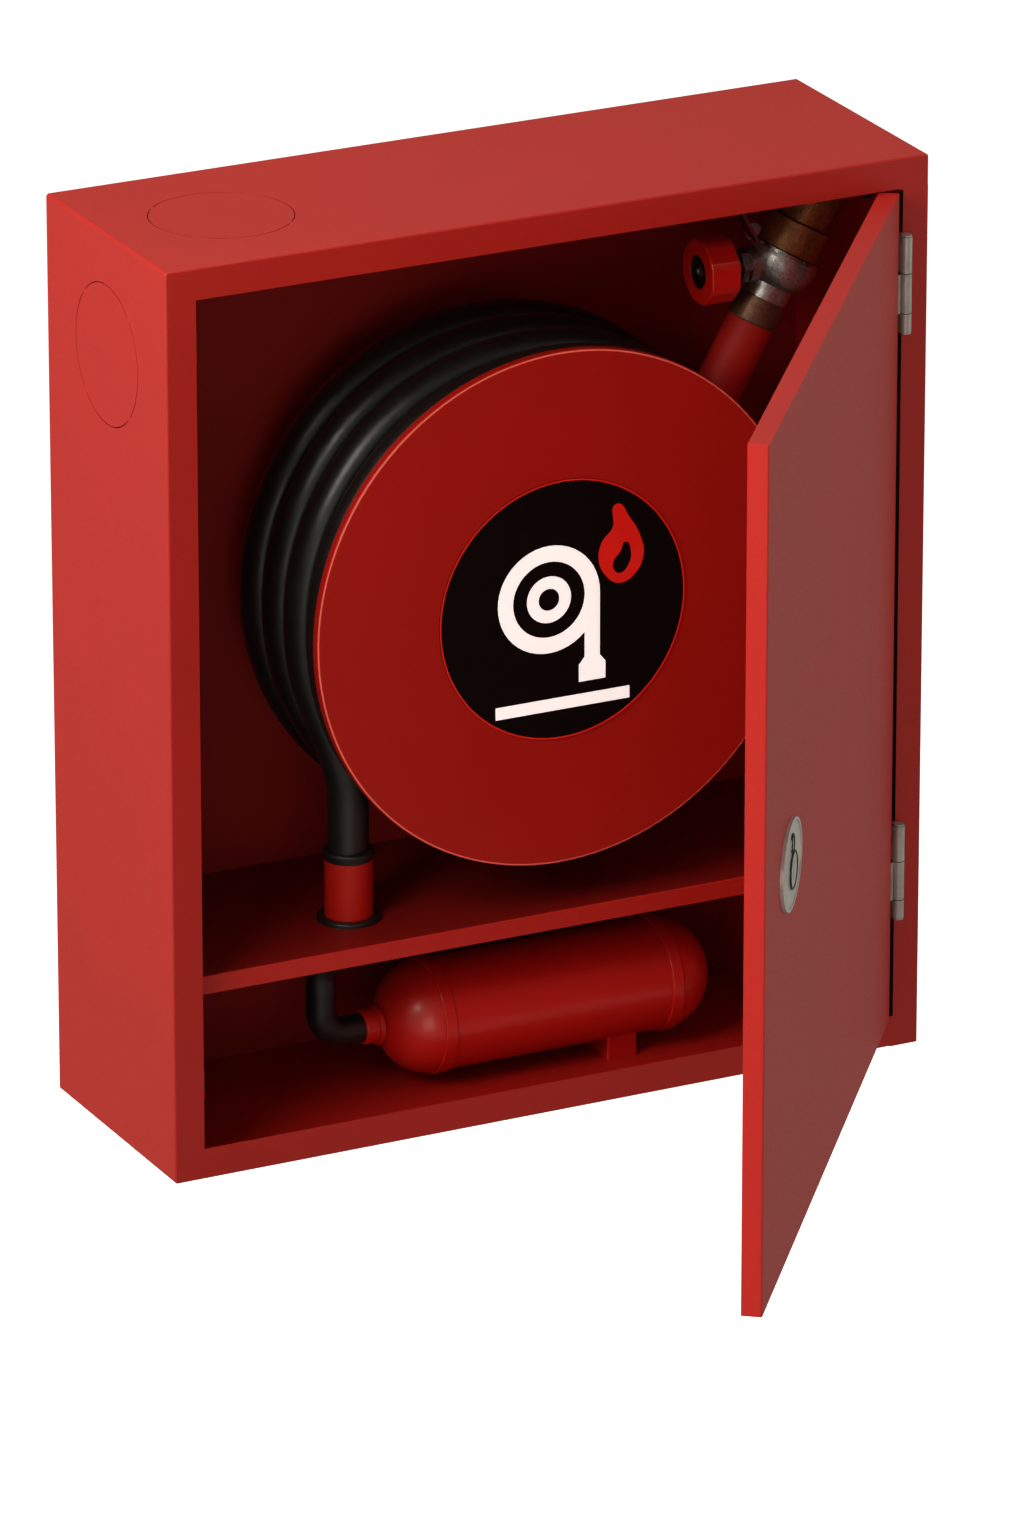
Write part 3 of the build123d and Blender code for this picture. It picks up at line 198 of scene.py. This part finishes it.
class Shader:
    """One procedural material: its node tree and the nodes that most of them need."""

    def __init__(self, name, colour, metallic=0.0, rough=0.5, **sockets):
        self.made = bpy.data.materials.new(name)
        self.made.use_nodes = True
        self.tree = self.made.node_tree
        self.surface = self.tree.nodes["Principled BSDF"]
        self.surface.inputs["Base Color"].default_value = (*colour, 1)
        self.surface.inputs["Metallic"].default_value = metallic
        self.surface.inputs["Roughness"].default_value = rough
        for socket, value in sockets.items():
            self.surface.inputs[socket.replace("_", " ")].default_value = value
        self.place = self.add("ShaderNodeTexCoord").outputs["Object"]

    def add(self, kind, **settings):
        """A new node, with its settings."""
        node = self.tree.nodes.new(kind)
        for name, value in settings.items():
            setattr(node, name, value)
        return node

    def link(self, start, end):
        """Feeds an output socket to an input socket."""
        self.tree.links.new(start, end)

    def stretched(self, scale):
        """The piece's own coordinates, stretched along an axis."""
        node = self.add("ShaderNodeMapping")
        node.inputs["Scale"].default_value = scale
        self.link(self.place, node.inputs["Vector"])
        return node.outputs["Vector"]

    def noise(self, scale, detail=3.0, rough=0.5, vector=None):
        """Noise over the piece. A larger scale is a finer one."""
        node = self.add("ShaderNodeTexNoise")
        node.inputs["Scale"].default_value = scale
        node.inputs["Detail"].default_value = detail
        node.inputs["Roughness"].default_value = rough
        self.link(vector or self.place, node.inputs["Vector"])
        return node.outputs["Fac"]

    def ramp(self, value, low, high, start=0.0, end=1.0):
        """Maps low..high of a value to start..end, and holds it outside them."""
        node = self.add("ShaderNodeMapRange")
        for name, number in (("From Min", low), ("From Max", high), ("To Min", start), ("To Max", end)):
            node.inputs[name].default_value = number
        self.link(value, node.inputs["Value"])
        return node.outputs["Result"]

    def mix(self, share, first, second):
        """Two colours mixed by a share. Either is a colour or a socket."""
        node = self.add("ShaderNodeMix", data_type="RGBA")
        self.link(share, node.inputs["Factor"])
        for socket, value in ((node.inputs[6], first), (node.inputs[7], second)):
            if isinstance(value, tuple):
                socket.default_value = (*value, 1)
            else:
                self.link(value, socket)
        return node.outputs[2]

    def bumps(self, *layers):
        """Bump from heights, each (value, strength, distance in metres)."""
        normal = None
        for value, strength, distance in layers:
            node = self.add("ShaderNodeBump")
            node.inputs["Strength"].default_value = strength
            node.inputs["Distance"].default_value = distance
            self.link(value, node.inputs["Height"])
            if normal:
                self.link(normal, node.inputs["Normal"])
            normal = node.outputs["Normal"]
        self.link(normal, self.surface.inputs["Normal"])


def shade(colour, factor):
    """A colour made darker or lighter."""
    return tuple(min(1.0, channel * factor) for channel in colour)


def away_from(paint, centre, axes, low, high, stop=None):
    """A share that rises from 0 to 1 between two distances from a line through a centre.

    The axes are 1 along the directions that count. It falls back to 0 past the stop, if there is one."""
    offset = paint.add("ShaderNodeMapping")
    offset.inputs["Location"].default_value = [-middle * axis for middle, axis in zip(centre, axes)]
    offset.inputs["Scale"].default_value = axes
    paint.link(paint.place, offset.inputs["Vector"])
    length = paint.add("ShaderNodeVectorMath", operation="LENGTH")
    paint.link(offset.outputs["Vector"], length.inputs[0])
    distance = length.outputs["Value"]
    share = paint.ramp(distance, low, high)
    if stop is None:
        return share
    inside = paint.add("ShaderNodeMath", operation="MULTIPLY")
    paint.link(share, inside.inputs[0])
    paint.link(paint.ramp(distance, stop, stop + high - low, 1.0, 0.0), inside.inputs[1])
    return inside.outputs["Value"]


def powder_coat(name, colour, rough=0.45, coat=0.0, peel=0.3, gloss=0.4, painted_light_zone=None, painted_light_colour=None):
    """Sprayed and baked paint: orange peel, faint clouding and fine specks.

    The painted-light zone, if there is one, names what away_from() needs; its colour is painted shade or a
    painted highlight there."""
    paint = Shader(name, colour, rough=rough, Coat_Weight=coat, Coat_Roughness=0.2,
                   Specular_IOR_Level=gloss)
    cloud = paint.ramp(paint.noise(9.0), *MOST_NOISE)
    tone = paint.mix(cloud, shade(colour, 0.97), shade(colour, 1.03))
    if painted_light_zone:
        # painted light: the zone's colour, painted shade or a painted highlight, laid on by distance from a
        # line
        tone = paint.mix(away_from(paint, **painted_light_zone), tone, painted_light_colour)
    speck = paint.ramp(paint.noise(1100.0, 1.0), 0.62, 0.72, 0.0, 0.4)
    paint.link(paint.mix(speck, tone, shade(colour, 0.55)), paint.surface.inputs["Base Color"])
    dulling = paint.ramp(paint.noise(700.0, 2.0), *MOST_NOISE, rough - 0.06, rough + 0.06)
    paint.link(dulling, paint.surface.inputs["Roughness"])
    orange_peel = paint.noise(650.0, 2.0)
    paint.bumps((orange_peel, peel, FINE_BUMP))
    return paint.made


RED = (0.40, 0.0090, 0.0050)
SHELF_FRONT_Y = -196.8 * MM   # just in front of the shelf's lip
hinge_place = joint_named("door_hinge")["pos_m"]
# painted light: the shelf's paint is a lighter copy of the cabinet's red, a painted highlight on its lip, and
# darker behind the lip, painted shade; painted highlights stand for light catching the door's free edge and
# the reel's rim
shelf_shade_zone = {"centre": (0, SHELF_FRONT_Y, 0), "axes": (0, 1, 0), "low": 1.2 * MM, "high": 1.6 * MM}
# a painted highlight along the door's free edge
door_edge_highlight_zone = {"centre": (hinge_place[0], hinge_place[1], 0), "axes": (1, 1, 0), "low": 601.4 * MM,
             "high": 601.8 * MM}
# a painted highlight, a thin bright ring near the reel disc's rolled rim
reel_rim_highlight_zone = {"centre": (REEL_X, 0, REEL_Z), "axes": (1, 0, 1), "low": 208.0 * MM, "high": 208.3 * MM,
             "stop": 209.2 * MM}
cabinet_paint = powder_coat("cabinet_paint", RED)
# the back panel is a darker copy of the cabinet's red: painted shade inside the cabinet
back_panel_shade_paint = powder_coat("back_panel_shade_paint", shade(RED, 0.6), rough=0.6, gloss=0.25)
shelf_paint = powder_coat("shelf_paint", shade(RED, 1.15), painted_light_zone=shelf_shade_zone, painted_light_colour=shade(RED, 0.45))
door_paint = powder_coat("door_paint", RED, rough=0.5, painted_light_zone=door_edge_highlight_zone, painted_light_colour=shade(RED, 1.5))
reel_paint = powder_coat("reel_paint", (0.38, 0.0070, 0.0035), rough=0.40, peel=0.2, painted_light_zone=reel_rim_highlight_zone,
                         painted_light_colour=(0.90, 0.15, 0.11))
tank_paint = powder_coat("tank_paint", (0.54, 0.0070, 0.0030), rough=0.42, coat=0.25, peel=0.1)
pipe_paint = powder_coat("pipe_paint", (0.34, 0.0065, 0.0035), rough=0.60, peel=0.5, gloss=0.2)


def rubber(name, colour, rough, cloth=0.0):
    """Black rubber: fine grain, dusty patches, and the faint wrap of a cloth-cured hose."""
    made = Shader(name, colour, rough=rough, Specular_IOR_Level=0.45)
    dust = made.ramp(made.noise(22.0, 5.0, 0.65), 0.52, 0.75, 0.0, 0.30)
    made.link(made.mix(dust, colour, shade(colour, 2.6)), made.surface.inputs["Base Color"])
    dulling = made.ramp(made.noise(60.0), *MOST_NOISE, rough - 0.06, rough + 0.08)
    made.link(dulling, made.surface.inputs["Roughness"])
    fine_grain = made.noise(1500.0, 2.0)
    layers = [(fine_grain, 0.15, FINE_BUMP)]
    if cloth:
        wrap = made.noise(260.0, 3.0, 0.6)
        layers.append((wrap, cloth, COARSE_BUMP))
    made.bumps(*layers)
    return made.made


hose_rubber = rubber("hose_rubber", (0.0065, 0.0063, 0.0060), 0.36, cloth=0.25)
black_rubber = rubber("black_rubber", (0.0060, 0.0060, 0.0060), 0.42)


def metal(name, colour, rough, streak=(1, 1, 1), grain=600.0, mottle=0.15, metallic=1.0):
    """Metal with mottling and a grain that runs along one axis."""
    made = Shader(name, colour, metallic=metallic, rough=rough)
    patches = made.ramp(made.noise(70.0, 4.0, 0.6), 0.3, 0.75)
    made.link(made.mix(patches, shade(colour, 1 - mottle), shade(colour, 1 + mottle)),
              made.surface.inputs["Base Color"])
    lines = made.noise(grain, 3.0, 0.6, made.stretched(streak))
    made.link(made.ramp(lines, 0.25, 0.75, rough - 0.08, rough + 0.10), made.surface.inputs["Roughness"])
    made.bumps((lines, 0.1, FINE_BUMP))
    return made.made


GRIT_SCALE = 380.0


def casting(name, colour, rough, metallic, spots, spot_share):
    """A sand casting: pebbled skin, darker pits and rubbed high spots."""
    made = Shader(name, colour, metallic=metallic, rough=rough)
    grit = made.noise(GRIT_SCALE, 4.0, 0.65)
    patches = made.ramp(made.noise(90.0, 5.0, 0.7), 0.35, 0.7)
    tone = made.mix(patches, shade(colour, 0.72), shade(colour, 1.25))
    pits = made.ramp(made.noise(GRIT_SCALE * 1.7, 2.0), 0.56, 0.68, 0.0, spot_share)
    made.link(made.mix(pits, tone, spots), made.surface.inputs["Base Color"])
    made.link(made.ramp(grit, *MOST_NOISE, rough - 0.1, rough + 0.12), made.surface.inputs["Roughness"])
    lumps = made.noise(120.0)
    made.bumps((grit, 0.5, COARSE_BUMP), (lumps, 0.35, LUMP_BUMP))
    return made.made


hinge_steel = metal("hinge_steel", (0.44, 0.42, 0.405), 0.40, streak=(1, 1, 0.03), grain=1800.0, metallic=0.5)
zinc_steel = metal("zinc_steel", (0.50, 0.51, 0.52), 0.34, mottle=0.25)
turned_steel = metal("turned_steel", (0.42, 0.42, 0.42), 0.30, streak=(1, 0.05, 0.05), grain=1500.0)
brass = metal("brass", (0.62, 0.42, 0.17), 0.30, mottle=0.2)
cast_hub = casting("cast_hub", (0.055, 0.055, 0.055), 0.55, 0.3, (0.02, 0.02, 0.02), 0.5)
dark_steel = metal("dark_steel", (0.20, 0.19, 0.185), 0.28, mottle=0.2)
valve_casting = casting("valve_casting", (0.33, 0.30, 0.285), 0.34, 0.9, (0.05, 0.04, 0.035), 0.6)
valve_bronze = casting("valve_bronze", (0.26, 0.090, 0.028), 0.42, 0.65, (0.025, 0.010, 0.005), 0.8)
band_bronze = casting("band_bronze", (0.115, 0.048, 0.024), 0.45, 0.6, (0.02, 0.008, 0.005), 0.7)


def moulded(name, colour, rough, coat=0.0, gloss=0.5, glow=0.0):
    """Moulded plastic, with a faint spark-eroded grain. A glow above 0 is painted light, which makes safety
    white brighter.
    """
    made = Shader(name, colour, rough=rough, Coat_Weight=coat, Coat_Roughness=0.1,
                  Specular_IOR_Level=gloss, Emission_Color=(1, 1, 1, 1), Emission_Strength=glow)
    cloud = made.ramp(made.noise(25.0), 0.35, 0.65)
    made.link(made.mix(cloud, shade(colour, 0.95), shade(colour, 1.04)), made.surface.inputs["Base Color"])
    dulling = made.ramp(made.noise(50.0), *MOST_NOISE, rough - 0.04, rough + 0.05)
    made.link(dulling, made.surface.inputs["Roughness"])
    fine_grain = made.noise(700.0, 2.0)
    made.bumps((fine_grain, 0.12, FINE_BUMP))
    return made.made


knob_red = moulded("knob_red", (0.66, 0.0095, 0.0040), 0.32, coat=0.5)
sleeve_red = moulded("sleeve_red", (0.40, 0.0080, 0.0040), 0.45, gloss=0.2)
label_black = moulded("label_black", (0.0015, 0.0015, 0.0015), 0.5, gloss=0.1)
# a near-black finish for the strips that stand in for shaded gaps: painted shadow
shadow_black = moulded("shadow_black", (0.0012, 0.0010, 0.0010), 0.7, gloss=0.05)
plug_grey = moulded("plug_grey", (0.62, 0.61, 0.60), 0.5)
# the sign's white glows a little: painted light, brighter than its lamps make it
label_white = moulded("label_white", (0.90, 0.90, 0.89), 0.45, glow=0.45)
label_red = moulded("label_red", (0.80, 0.012, 0.006), 0.45)
lock_grey = metal("lock_grey", (0.58, 0.555, 0.53), 0.45, streak=(1, 1, 0.05), grain=1200.0, metallic=0.6)

FINISHES = [
    (cabinet_paint, "cabinet_wrap hinge_stile shelf_support strike_plate"),
    (shelf_paint, "shelf"),
    (back_panel_shade_paint, "back_panel"),
    (door_paint, "door_skin door_stiffener"),
    (reel_paint, "front_disc rear_disc drum"),
    (label_black, "label_plate"),
    (tank_paint, "tank_barrel tank_end_left tank_end_right tank_neck tank_saddle tank_clip"),
    (pipe_paint, "supply_pipe feed_pipe"),
    (hinge_steel, "frame_hinge_leaves hinge_pins door_hinge_leaves"),
    (lock_grey, "lock_escutcheon lock_plug"),
    (zinc_steel, "lock_housing lock_nut lock_cam cam_screw tie_rods tie_nuts bracket_nuts hub_nut "
                 "thrust_washer feed_nut hub_spindle"),
    (cast_hub, "hub_housing hub_bracket outlet_elbow"),
    (black_rubber, "hose_collar shelf_grommet foam_elbow inlet_grommet door_bumpers hub_seals "
                   "jumper_washer"),
    (sleeve_red, "hose_sleeve"),
    (valve_casting, "valve_body"),
    (band_bronze, "pipe_coupling"),
    (valve_bronze, "union_nut union_tail inlet_elbow"),
    (brass, "valve_jumper"),
    (dark_steel, "valve_bonnet knob_nut valve_hanger"),
    (turned_steel, "valve_stem"),
    (knob_red, "valve_knob"),
]
for finish, names in FINISHES:
    for name in names.split():
        piece = nodes[name]
        piece.data.materials.clear()
        piece.data.materials.append(finish)
for piece in (hose_on_reel, hose_end):
    piece.data.materials.append(hose_rubber)


# ---------------------------------------------------------------- pictogram on the reel's label
label_low, label_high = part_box("label_plate")
label_centre = (label_low + label_high) / 2
SIGN_T = 0.3 * MM
SIGN_SUNK = 0.02 * MM    # how deep a sign's back lies in the plate


def flat_sign(name, loops, material, smooth=False, layer=0.0):
    """A thin flat shape on the label. Each loop is a closed run of (right, up) points in mm.

    A layer above 0 lifts the shape by that many mm, over another that it meets."""
    curve = bpy.data.curves.new(name + "_outline", "CURVE")
    curve.dimensions = "2D"
    curve.fill_mode = "BOTH"
    curve.extrude = SIGN_T / 2
    curve.resolution_u = 8
    for loop in loops:
        spline = curve.splines.new("BEZIER")
        spline.bezier_points.add(len(loop) - 1)
        for point, (right, up) in zip(spline.bezier_points, loop):
            point.co = (right * MM, up * MM, 0)
            point.handle_left_type = point.handle_right_type = "AUTO" if smooth else "VECTOR"
        spline.use_cyclic_u = True
    drawn = bpy.data.objects.new(name + "_outline", curve)
    mesh = bpy.data.meshes.new_from_object(drawn)
    bpy.data.objects.remove(drawn)
    turn = Matrix.Rotation(math.pi / 2, 4, "X")
    depth = label_low.y - SIGN_T / 2 + SIGN_SUNK - layer * MM
    mesh.transform(Matrix.Translation((label_centre.x, depth, label_centre.z)) @ turn)
    mesh.materials.clear()
    mesh.materials.append(material)
    piece = new_object(name, mesh)
    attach(piece, "reel")


def circle(right, up, radius, count=48):
    """Points round a circle."""
    steps = [2 * math.pi * index / count for index in range(count)]
    return [(right + radius * math.cos(turn), up + radius * math.sin(turn)) for turn in steps]


flat_sign("label_ring", [circle(0, 0, radius, 96) for radius in (105.9, 104.7)], label_red)
SIGN_CENTRE = (-12.0, 10.0)
flat_sign("sign_reel", [circle(*SIGN_CENTRE, radius) for radius in (44, 31)], label_white)
flat_sign("sign_hub", [circle(*SIGN_CENTRE, radius) for radius in (19, 9)], label_white)
flat_sign("sign_hose", [[
    (19, 10), (32, 10), (32, -42), (37, -48), (37, -62), (14, -62), (14, -48), (19, -42),
]], label_white, layer=0.08)
flat_sign("sign_flame", [[
    (49, 14), (37, 22), (31, 36), (34, 50), (43, 60), (46, 79), (58, 66), (67, 50), (70, 35), (63, 20),
], [
    (50, 22), (57, 28), (59, 38), (54, 47), (50, 40), (44, 33), (44, 26),
]], label_red, smooth=True)
flat_sign("sign_bar", [[(-58, -82), (58, -82), (58, -72), (-58, -72)]], label_white)


# ---------------------------------------------------------------- dark rings in the lock: painted shadow in its gaps
lock_joint = joint_named("lock_turn")
lock_spot = Vector(lock_joint["pos_m"])
lock_out = -Vector(lock_joint["axis"]).normalized()
UP = Vector((0, 0, 1))
lock_side = UP.cross(lock_out)


def on_door(right, up, out):
    """A point on the door's outer face, from the lock's centre, in metres."""
    return lock_spot + lock_side * right + UP * up + lock_out * out


def oval_ring(name, body, centre_up, half_width, half_height, out, section_r):
    """A dark oval ring on the door, painted shadow in a gap, with a round section, centred straight above the
    lock's middle.
    """
    around, section = 72, 8
    mesh = bmesh.new()
    rows = []
    for count in range(around):
        turn = 2 * math.pi * count / around
        row = []
        for step in range(section):
            side = 2 * math.pi * step / section
            wide = section_r * math.cos(side)
            right = (half_width + wide) * math.cos(turn)
            up = centre_up + (half_height + wide) * math.sin(turn)
            row.append(mesh.verts.new(on_door(right, up, out + section_r * math.sin(side))))
        rows.append(row)
    for count in range(around):
        for step in range(section):
            following, beside = rows[(count + 1) % around], (step + 1) % section
            mesh.faces.new((rows[count][step], following[step], following[beside], rows[count][beside]))
    bmesh.ops.recalc_face_normals(mesh, faces=mesh.faces)
    data = mesh_from(name, mesh)
    data.shade_smooth()
    # the rings take the black rubber finish, as painted shadow
    data.materials.append(black_rubber)
    piece = new_object(name, data)
    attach(piece, body)


plug_low, plug_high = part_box("lock_plug")
# a dark ring just outside the plug, and one round the eyelet: painted shadow in their gaps
PLUG_SHADOW_GAP = 0.2 * MM
PLUG_SHADOW_R = (plug_high.z - plug_low.z) / 2 + PLUG_SHADOW_GAP
oval_ring("plug_shadow_ring", "door", centre_up=0.0, half_width=PLUG_SHADOW_R, half_height=PLUG_SHADOW_R, out=3.3 * MM,
          section_r=1.1 * MM)
oval_ring("eyelet_shadow_ring", "door", centre_up=21.0 * MM, half_width=5.0 * MM, half_height=7.2 * MM,
          out=2.7 * MM, section_r=0.9 * MM)


# ---------------------------------------------------------------- dark strips of painted shadow by the hinges, and wall plugs
def closed_piece(name, mesh, material):
    """A piece of the cabinet made from a bmesh."""
    data = mesh_from(name, mesh)
    data.materials.append(material)
    piece = new_object(name, data)
    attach(piece, "cabinet")


# dark strips on the frame's edge, painted shadow in the gap by the door, above, between and below the hinges:
# from and to, in mm
STRIP_X = (299.2, 302.6)
STRIP_Y = (-215.25, -213.7)
STRIP_SPANS = {"top": (310.0, 344.0), "middle": (-178.0, 228.0), "bottom": (-344.0, -260.0)}
for place, (low, high) in STRIP_SPANS.items():
    strip = bmesh.new()
    bmesh.ops.create_cube(strip, size=1.0)
    size = Vector((STRIP_X[1] - STRIP_X[0], STRIP_Y[1] - STRIP_Y[0], high - low)) * MM
    middle = Vector((sum(STRIP_X), sum(STRIP_Y), low + high)) * MM / 2
    strip.transform(Matrix.Translation(middle) @ Matrix.Diagonal((*size, 1.0)))
    closed_piece("hinge_gap_shadow_" + place, strip, shadow_black)

HOLE_X = 285.0           # distances of the wall screws' holes from the middle, in mm
HOLE_Z = 250.0
PLUG_SIDES = 36
# (radius, y) of a plug's outline, in mm
PLUG_PROFILE = [(0.0, -0.2), (4.3, -0.2), (4.3, -1.6), (7.2, -1.6), (7.2, -2.3), (6.4, -2.9), (0.0, -3.1)]


def wall_plug(place, x, z):
    """A round grey plug in a wall screw's hole, which is at x and z in mm."""
    plug = bmesh.new()
    rows = []
    for count in range(PLUG_SIDES):
        turn = 2 * math.pi * count / PLUG_SIDES
        rows.append([plug.verts.new(((x + r * math.cos(turn)) * MM, y * MM, (z + r * math.sin(turn)) * MM))
                     for r, y in PLUG_PROFILE[1:-1]])
    back_end, front_end = [plug.verts.new((x * MM, y * MM, z * MM))
                           for y in (PLUG_PROFILE[0][1], PLUG_PROFILE[-1][1])]
    for count, row in enumerate(rows):
        following = rows[(count + 1) % PLUG_SIDES]
        plug.faces.new((back_end, row[0], following[0]))
        plug.faces.new((front_end, following[-1], row[-1]))
        for step in range(len(row) - 1):
            plug.faces.new((row[step], row[step + 1], following[step + 1], following[step]))
    bmesh.ops.recalc_face_normals(plug, faces=plug.faces)
    closed_piece("wall_plug_" + place, plug, plug_grey)


wall_plug("upper_left", -HOLE_X, HOLE_Z)
wall_plug("upper_right", HOLE_X, HOLE_Z)
wall_plug("lower_left", -HOLE_X, -HOLE_Z)
wall_plug("lower_right", HOLE_X, -HOLE_Z)


# ---------------------------------------------------------------- studio: floor, backdrop, lights
FLOOR_Z = -1.0
STUDIO_R = 40.0
WARM = (1.0, 0.97, 0.86)
LIT_POINT = Vector((0.0, -0.15, 0.0))


def studio_piece(name, mesh, glow):
    """A pale, self-lit stage piece that neither shades nor tints the object."""
    paint = Shader(name + "_paint", (0.9, 0.9, 0.9), rough=0.9, Emission_Color=(1, 1, 1, 1),
                   Emission_Strength=glow)
    mesh.materials.append(paint.made)
    piece = new_object(name, mesh)
    piece.visible_diffuse = False
    piece.visible_glossy = False
    piece.visible_shadow = False


floor_mesh = bpy.data.meshes.new("floor")
corners = [(x * STUDIO_R, y * STUDIO_R, FLOOR_Z) for x, y in ((-1, -1), (1, -1), (1, 1), (-1, 1))]
floor_mesh.from_pydata(corners, [], [(0, 1, 2, 3)])
studio_piece("floor", floor_mesh, glow=0.8)
dome = bmesh.new()
bmesh.ops.create_uvsphere(dome, u_segments=48, v_segments=24, radius=STUDIO_R)
bmesh.ops.reverse_faces(dome, faces=dome.faces)
studio_piece("backdrop", mesh_from("backdrop", dome), glow=1.0)


def area_light(name, place, size, power):
    """A soft square light, turned towards the object and hidden from the camera."""
    lamp = bpy.data.lights.new(name, "AREA")
    lamp.size = size
    lamp.energy = power
    lamp.color = WARM
    made = new_object(name, lamp)
    made.location = place
    made.rotation_mode = "QUATERNION"
    made.rotation_quaternion = (LIT_POINT - Vector(place)).to_track_quat("-Z", "Y")
    made.visible_camera = False


# place, side of the square in metres, and power in watts
LAMPS = {
    "key": ((-1.75, -0.95, 1.35), 1.1, 37.0),
    "left": ((-2.6, 0.4, 0.4), 1.2, 30.0),
    "top": ((-0.3, 0.2, 2.6), 1.2, 28.0),
    "front": ((-1.6, -3.6, -0.1), 1.6, 18.0),
    "right": ((2.6, -1.2, 0.6), 1.5, 17.0),
}
for name, (place, size, power) in LAMPS.items():
    area_light(name, place, size, power)

# the sky is a little brighter below than above
SKY_LOW = 0.33
SKY_HIGH = 0.28
SKY_TURNS = (-0.35, 0.6)  # z of the directions between which it changes
world = bpy.data.worlds.new("studio")
world.use_nodes = True
sky = world.node_tree
spot = sky.nodes.new("ShaderNodeTexCoord")
split = sky.nodes.new("ShaderNodeSeparateXYZ")
sky.links.new(spot.outputs["Generated"], split.inputs["Vector"])
height = sky.nodes.new("ShaderNodeMapRange")
height.interpolation_type = "SMOOTHSTEP"
for socket, value in (("From Min", SKY_TURNS[0]), ("From Max", SKY_TURNS[1]), ("To Min", SKY_LOW),
                      ("To Max", SKY_HIGH)):
    height.inputs[socket].default_value = value
sky.links.new(split.outputs["Z"], height.inputs["Value"])
sky.links.new(height.outputs["Result"], sky.nodes["Background"].inputs["Strength"])
sky.nodes["Background"].inputs["Color"].default_value = (*WARM, 1)
scene.world = world

# ---------------------------------------------------------------- the end
bpy.context.view_layer.update()
